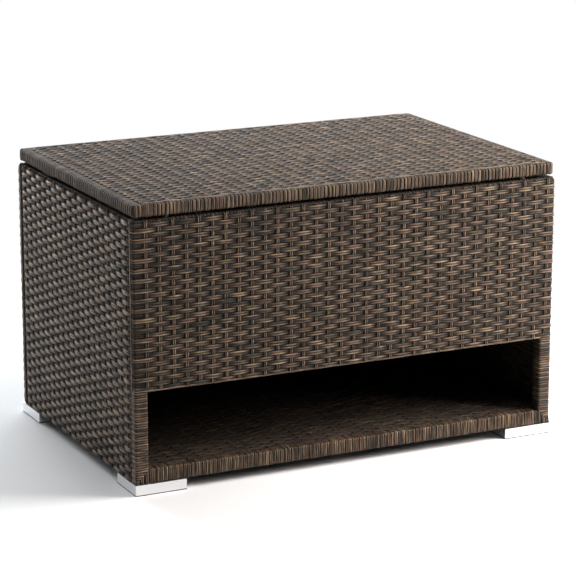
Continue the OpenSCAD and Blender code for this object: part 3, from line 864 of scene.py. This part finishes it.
def foot_shadow_soles():
    """A thin black plate under each foot, whose edge shows as a dark line round the foot's base: it
    stands in for the contact shadow there, as well as for a thin glide.
    """
    proud = 0.15 * MM
    thick = 1.5 * MM
    points = []
    faces = []
    for corner in ("front_left", "front_right", "rear_left", "rear_right"):
        low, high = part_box(corner + "_foot")
        first = len(points)
        for z in (0.0, thick):
            points.append((low.x - proud, low.y - proud, z))
            points.append((high.x + proud, low.y - proud, z))
            points.append((high.x + proud, high.y + proud, z))
            points.append((low.x - proud, high.y + proud, z))
        for face in BOX_FACES:
            faces.append([first + index for index in face])
    mesh = bpy.data.meshes.new("foot_shadow_soles")
    mesh.from_pydata(points, [], faces)
    mesh.materials.append(black_plastic)
    piece = bpy.data.objects.new("foot_shadow_soles", mesh)
    bpy.context.scene.collection.objects.link(piece)
    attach(piece, "table")


# ---- The lid ----

LID_CORNER_R = 9.0 * MM
LID_MARGIN = 12.5 * MM
BORDER_AT = 9.3 * MM

# The lid's front and rear are wound; at its sides the rows of the top go on over the edge.
# depth is painted shade over the whole wrapping, darker at the sides than at the front and rear.
WOUND = {"width": WRAP_W, "unevenness": 1.0, "depth": 0.3, "profile": HUMPED, "drift": None}
TURNED_OVER = {
    "width": 1.08 * ROW_PITCH, "unevenness": 0.3, "depth": 0.65, "profile": SMOOTH,
    "drift": TURN_DRIFT,
}


def lid_rows():
    """Where the rows of the lid's top lie, from front to back."""
    reach = LID_Y - LID_MARGIN - ROW_PITCH / 2
    return spaced(-reach, reach, ROW_PITCH)


def lid_route(kind, along_x):
    """A wrapping strand's route round the lid's edge: distance in from the face, and height."""
    under = lid_tube_low.z - 0.75 * MM
    top = LID_TOP - 1.95 * MM
    out = 0.8 * MM
    begin = {
        "full": [(19.5 * MM, under), (out, under)],
        "short": [(7.0 * MM, under), (out, under)],
        "open": [(out, lid_tube_low.z + (0.7 * MM if along_x else -1.3 * MM))],
    }[kind]
    if kind == "short":
        end = [(out, top), (8.0 * MM, top)]
    elif along_x:
        end = [(out, top), (8.0 * MM, top), (11.5 * MM, top - 0.9 * MM)]
    else:
        end = [(out, top), (13.2 * MM, top + 0.6 * MM), (16.5 * MM, top - 0.9 * MM)]
    return turned(begin + end, 5.2 * MM, 4)


def lid_strands(strands, base, normal, kind, along_x):
    """Adds wrapping strands at the base points of the lid's outline, which face along normal."""
    look = WOUND if along_x else TURNED_OVER
    path = lid_route(kind, along_x)
    facing = outward(path, (9 * MM, (lid_tube_low.z + lid_tube_high.z) / 2))
    count = len(base)
    swell = rng.normal(0, 0.15 * MM * look["unevenness"], (count, 1))
    inward = path[None, :, 0] - swell * facing[None, :, 0]
    centre = np.zeros((count, len(path), 3))
    centre[..., :2] = base[:, None, :] - normal[:, None, :] * inward[..., None]
    centre[..., 2] = path[:, 1]
    out = np.zeros((count, len(path), 3))
    out[..., :2] = -normal[:, None, :] * facing[None, :, 0, None]
    out[..., 2] = facing[:, 1]
    width = np.full((count, len(path)), look["width"])
    if kind == "short":
        width = width * np.clip((LID_CORNER_R - path[:, 0]) / LID_CORNER_R, 0.15, 1)[None, :]
    # The edge's depth is its painted shade.
    strands.add(centre, out, width, roll=rng.normal(0, 0.08 * look["unevenness"], (count, 1)),
                depth=look["depth"], profile=look["profile"], drift=look["drift"])


def lid_edge(name, replaced, along_x, sign, fittings):
    """The wrapping along one edge of the lid, which stops above the fittings screwed under it.

    At the sides there is one strand for each row of the top, and one more beside each corner.
    """
    if along_x:
        face, reach = LID_Y, LID_X - LID_CORNER_R
        places = spaced(-reach, reach, WRAP_PITCH)
        places = (places[1:] + places[:-1]) / 2
    else:
        face = LID_X
        rows = lid_rows()
        beside = 0.97 * ROW_PITCH
        places = np.concatenate([[rows[0] - beside], rows, [rows[-1] + beside]])
    axis = 0 if along_x else 1
    base = np.zeros((len(places), 2))
    base[:, axis] = places
    base[:, 1 - axis] = sign * face
    normal = np.zeros_like(base)
    normal[:, 1 - axis] = sign
    cut = blocked(places, fittings, axis, 3.6 * MM)
    strands = Strands()
    lid_strands(strands, base[~cut], normal[~cut], "full", along_x)
    if cut.any():
        lid_strands(strands, base[cut], normal[cut], "open", along_x)
    if along_x:
        for x_sign in (-1, 1):
            angle = np.radians([22.5, 67.5])
            turn = np.stack([x_sign * np.sin(angle), sign * np.cos(angle)], axis=-1)
            middle = np.array([x_sign * (LID_X - LID_CORNER_R), sign * (LID_Y - LID_CORNER_R)])
            lid_strands(strands, middle + turn * LID_CORNER_R, turn, "short", along_x)
    strands.build(name, "lid", wicker_wrap, (replaced,))


def lid_border():
    """The strands along the front and the rear of the lid's top, over the wrapping's ends."""
    reach = LID_X - 15 * MM
    x = np.linspace(-reach, reach, 100)
    end_drop = np.interp(np.abs(x), [reach - 9 * MM, reach], [0, 1.2 * MM])
    centre = np.zeros((2, len(x), 3))
    centre[..., 0] = x
    y_signs = np.array([[-1.0], [1.0]])
    centre[..., 1] = y_signs * (LID_Y - BORDER_AT) + wander(2, x, 0.2 * MM, 0.09)
    centre[..., 2] = LID_TOP - 0.95 * MM - end_drop + wander(2, x, 0.1 * MM, 0.05)
    strands = Strands()
    strands.add(centre, np.array([0.0, 0.0, 1.0]), STRAND_W)
    strands.build("lid_border", "lid", wicker_wrap)


# ---- The pieces ----

broad_face("front_panel", -1, round((PANEL_Z - foot_top) / ROW_PITCH), PANEL_Z + 0.5 * MM,
           (STRAND_W, ROW_DRIFT), "front_weave")
broad_face("rear_panel", 1, 0, foot_top + 1 * MM, (CLOSE_W, CLOSE_DRIFT), "rear_weave")
narrow_face("left_panel", -1, "left_weave")
narrow_face("right_panel", 1, "right_weave")
flat_panel("shelf", "table", shelf_low, shelf_high, 1.0 * MM, (0.85 * MM, 0.4 * MM),
           "shelf_weave", SHELF_PAINTED_SHADE)
flat_panel("storage_floor", "table", floor_low, floor_high, 1.1 * MM, (1.0 * MM, 0.3 * MM),
           "storage_floor_weave")
post_strands("left_post_strands", -1, "left_post_wrap")
post_strands("right_post_strands", 1, "right_post_wrap")
rail_strands()
corner_lashings()
panel_hem()
rim_loops()
foot_shadow_soles()

lid_weave_margin = Vector((LID_MARGIN, LID_MARGIN, 0))
flat_panel("lid_top", "lid", lid_low + lid_weave_margin, lid_high - lid_weave_margin, STRAND_T,
           (1.0 * MM, 0.6 * MM), "lid_weave")
lid_edge("lid_front_edge", "lid_front_wrap", True, -1, ())
lid_edge("lid_rear_edge", "lid_rear_wrap", True, 1,
         ("left_hinge_lid_leaf", "right_hinge_lid_leaf"))
lid_edge("lid_left_edge", "lid_left_wrap", False, -1, ("left_stay_lid_bracket",))
lid_edge("lid_right_edge", "lid_right_wrap", False, 1, ("right_stay_lid_bracket",))
lid_border()

# ---- Finishes of the CAD nodes that stay ----

FINISHES = {
    "frame_tube": powder_coat,
    "foot_aluminium": aluminium,
    "foot_plastic": black_plastic,
    "hinge_steel": zinc,
    "stay_steel": zinc,
    "screw_steel": zinc,
    "bumper_rubber": rubber,
}
for part in frame["record"]["subparts"]:
    finish = FINISHES.get(part["material_slot"])
    if finish is not None:
        node = frame["nodes"][part["node"]]
        node.data.materials.clear()
        node.data.materials.append(finish)


# ---- Camera, light and floor ----

def aim(thing, place, target):
    """Puts a camera or a light at a place, looking at the target."""
    thing.location = place
    thing.rotation_euler = (target - place).to_track_quat("-Z", "Y").to_euler()


def from_target(target, azimuth, elevation, distance):
    """A place seen from the target: azimuth 0 is in front, and positive is to the right."""
    a, e = math.radians(azimuth), math.radians(elevation)
    level = math.cos(e)
    return target + distance * Vector((math.sin(a) * level, -math.cos(a) * level, math.sin(e)))


LENS = 159.8
CAMERA_AT = (-26.09, 14.43, 4.43)  # azimuth, elevation, distance
AIM_OFFSET = Vector((0, -0.020, 0.008))  # from the middle of the CAD box

# Name, azimuth, elevation, distance, size, power and colour.
LIGHTS = (
    ("ceiling_light", -20, 82, 3.4, 4.5, 66, (1.0, 1.0, 1.0)),
    ("key_light", 61, 24, 1.7, 1.0, 60, (1.0, 0.93, 0.87)),
    ("left_light", -168, 12, 2.5, 1.2, 40, (1.0, 0.99, 0.98)),
    ("back_light", 160, 15, 3.0, 2.4, 93, (0.90, 0.96, 1.0)),
)

# The backdrop's light from the front and from the back, and where it goes from one to the other.
BACK_LIGHT = 0.9
FRONT_LIGHT = 0.09
BACK_EDGE = (0.60, 0.85)

# The floor's tone, the part of it that bounces light, and the radii where it fades to white.
FLOOR_TONE = 1.0
FLOOR_TINT = (0.955, 0.975, 1.0, 1.0)
FLOOR_BOUNCE = 0.6
FADE_START = 0.65
FADE_END = 1.5


def add_camera():
    """A long lens at the front left, a little above the lid."""
    camera = bpy.data.objects.new("camera", bpy.data.cameras.new("camera"))
    bpy.context.scene.collection.objects.link(camera)
    camera.data.lens = LENS
    target = (cad_low + cad_high) / 2 + AIM_OFFSET
    aim(camera, from_target(target, *CAMERA_AT), target)
    bpy.context.scene.camera = camera


def add_area_light(name, azimuth, elevation, distance, size, power, colour):
    """A square soft light that looks at the table."""
    light = bpy.data.lights.new(name, "AREA")
    light.shape = "SQUARE"
    light.size = size
    light.energy = power
    light.color = colour
    lamp = bpy.data.objects.new(name, light)
    bpy.context.scene.collection.objects.link(lamp)
    target = Vector((0, 0, cad_high.z / 2))
    aim(lamp, from_target(target, azimuth, elevation, distance), target)


def add_floor():
    """A round, pale floor that fades into the white backdrop."""
    mesh = bpy.data.meshes.new("floor")
    radius = 2.4
    corners = 96
    ring = [2 * math.pi * k / corners for k in range(corners)]
    mesh.from_pydata([(radius * math.cos(a), radius * math.sin(a), 0) for a in ring], [],
                     [tuple(range(corners))])
    floor = bpy.data.objects.new("floor", mesh)
    bpy.context.scene.collection.objects.link(floor)
    material, tree, shader = new_material("pale_floor")
    bounced = add_node(tree, "ShaderNodeLightPath").outputs["Is Diffuse Ray"]
    reach = add_node(tree, "ShaderNodeVectorMath", operation="LENGTH")
    tree.links.new(add_node(tree, "ShaderNodeTexCoord").outputs["Object"], reach.inputs[0])
    fade = add_node(tree, "ShaderNodeMapRange", interpolation_type="SMOOTHSTEP")
    fade.inputs["From Min"].default_value = FADE_START
    fade.inputs["From Max"].default_value = FADE_END
    tree.links.new(reach.outputs["Value"], fade.inputs["Value"])
    tone = scaled(tree, bounced, FLOOR_BOUNCE - FLOOR_TONE, FLOOR_TONE)
    tone = maths(tree, "MULTIPLY", tone, scaled(tree, fade.outputs[0], -1.0, 1.0))
    tinted = blend_colours(tree, "MULTIPLY", 1.0, tone, FLOOR_TINT)
    tree.links.new(tinted, shader.inputs["Base Color"])
    shader.inputs["Emission Color"].default_value = (1, 1, 1, 1)
    tree.links.new(fade.outputs[0], shader.inputs["Emission Strength"])
    shader.inputs["Roughness"].default_value = 0.9
    shader.inputs["Specular IOR Level"].default_value = 0.0
    mesh.materials.append(material)


def add_world():
    """A white backdrop, which lights the table mostly from behind, and less than it looks."""
    world = bpy.data.worlds.new("studio")
    bpy.context.scene.world = world
    world.use_nodes = True
    tree = world.node_tree
    background = tree.nodes["Background"]
    background.inputs["Color"].default_value = (1, 1, 1, 1)
    seen = add_node(tree, "ShaderNodeLightPath").outputs["Is Camera Ray"]
    way = add_node(tree, "ShaderNodeSeparateXYZ")
    tree.links.new(add_node(tree, "ShaderNodeTexCoord").outputs["Generated"], way.inputs[0])
    light = add_node(tree, "ShaderNodeMapRange", interpolation_type="SMOOTHSTEP")
    settings = {
        "From Min": BACK_EDGE[0],
        "From Max": BACK_EDGE[1],
        "To Min": FRONT_LIGHT,
        "To Max": BACK_LIGHT,
    }
    for name, value in settings.items():
        light.inputs[name].default_value = value
    tree.links.new(way.outputs["Y"], light.inputs["Value"])
    strength = maths(tree, "MAXIMUM", light.outputs[0], seen)
    tree.links.new(strength, background.inputs["Strength"])


add_camera()
for light in LIGHTS:
    add_area_light(*light)
add_floor()
add_world()
bpy.context.scene.view_settings.view_transform = "Standard"
